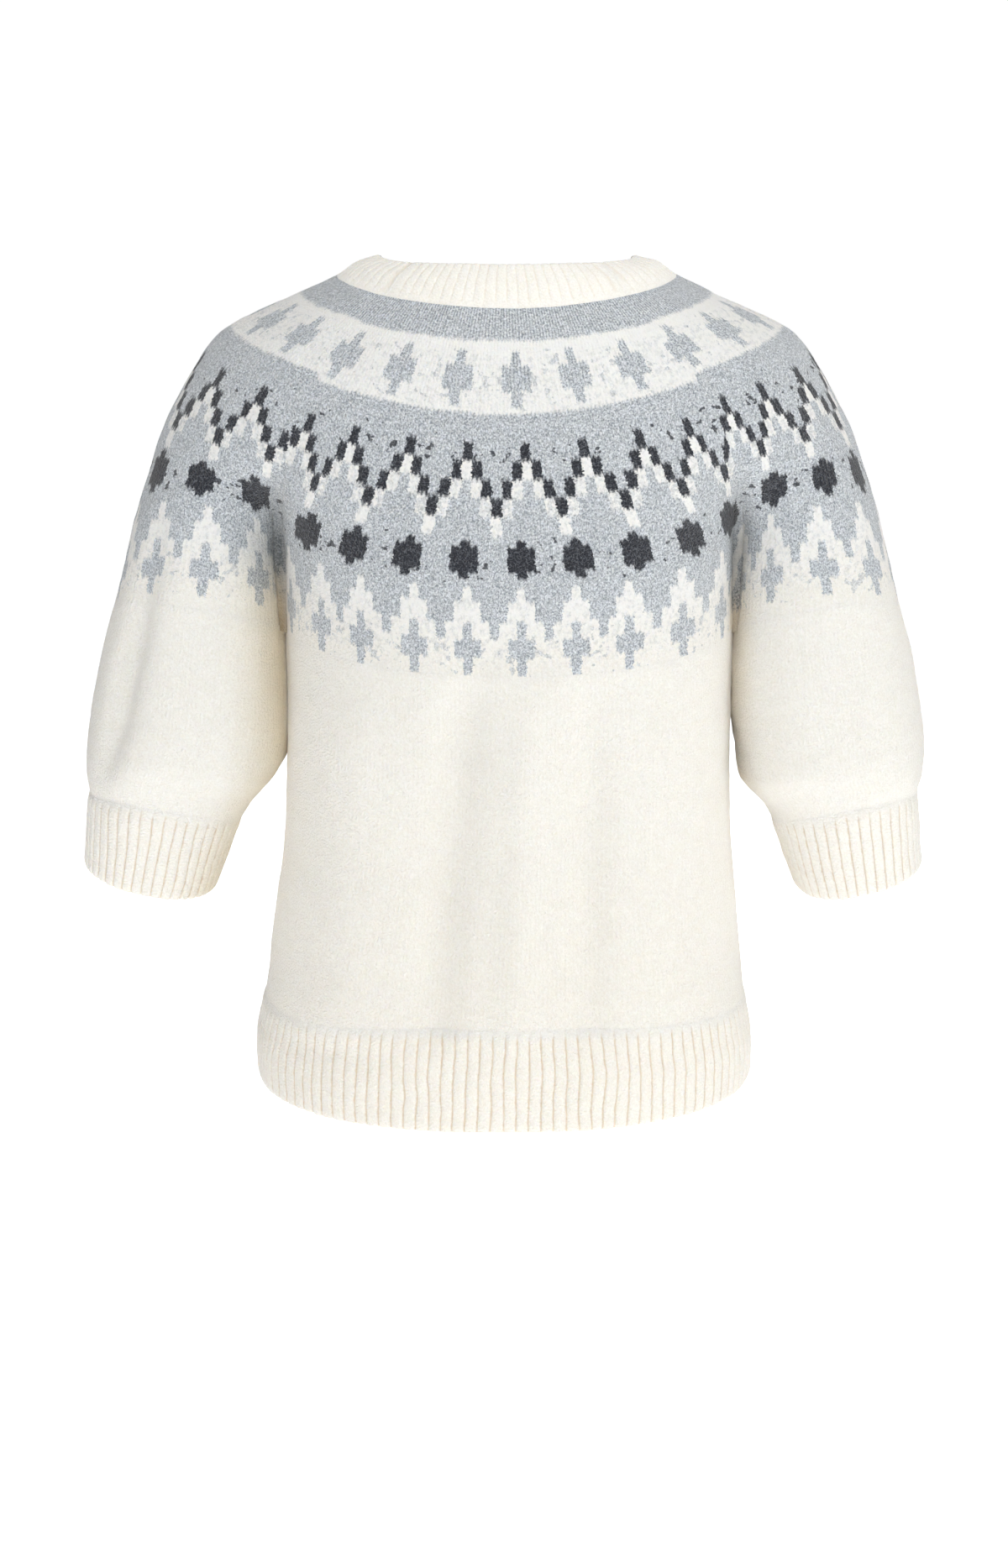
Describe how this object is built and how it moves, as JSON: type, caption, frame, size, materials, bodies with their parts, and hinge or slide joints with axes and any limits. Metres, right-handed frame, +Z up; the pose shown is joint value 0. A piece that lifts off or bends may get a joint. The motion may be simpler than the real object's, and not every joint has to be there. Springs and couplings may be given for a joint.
{
  "type": "nordic yoke sweater",
  "caption": "Round-yoke knitted sweater with elbow-length balloon sleeves and a ribbed neck, cuffs and deep hem, open and hollow, filled out as it is worn.",
  "frame": {"origin": "middle of the neck opening, at the height of the shoulders where the neckband meets the yoke", "axes": "+Z up along the wearer, +Y the way the wearer faces, +X towards the wearer's right, as the sweater's back faces -Y"},
  "size_m": [0.5852, 0.2605, 0.5738],
  "materials": {
    "cream_wool": "brushed plain knit, soft short nap",
    "rib_wool": "brushed 1x1 rib",
    "patterned_wool": "brushed stranded colourwork in heather grey, cream and charcoal"
  },
  "bodies": {
    "root": {"neckband": "rib_wool", "yoke": "patterned_wool", "back_panel": "cream_wool", "front_panel": "cream_wool", "back_hem_rib": "rib_wool", "front_hem_rib": "rib_wool", "left_sleeve": "cream_wool", "right_sleeve": "cream_wool", "left_cuff": "rib_wool", "right_cuff": "rib_wool"}
  },
  "joints": []
}
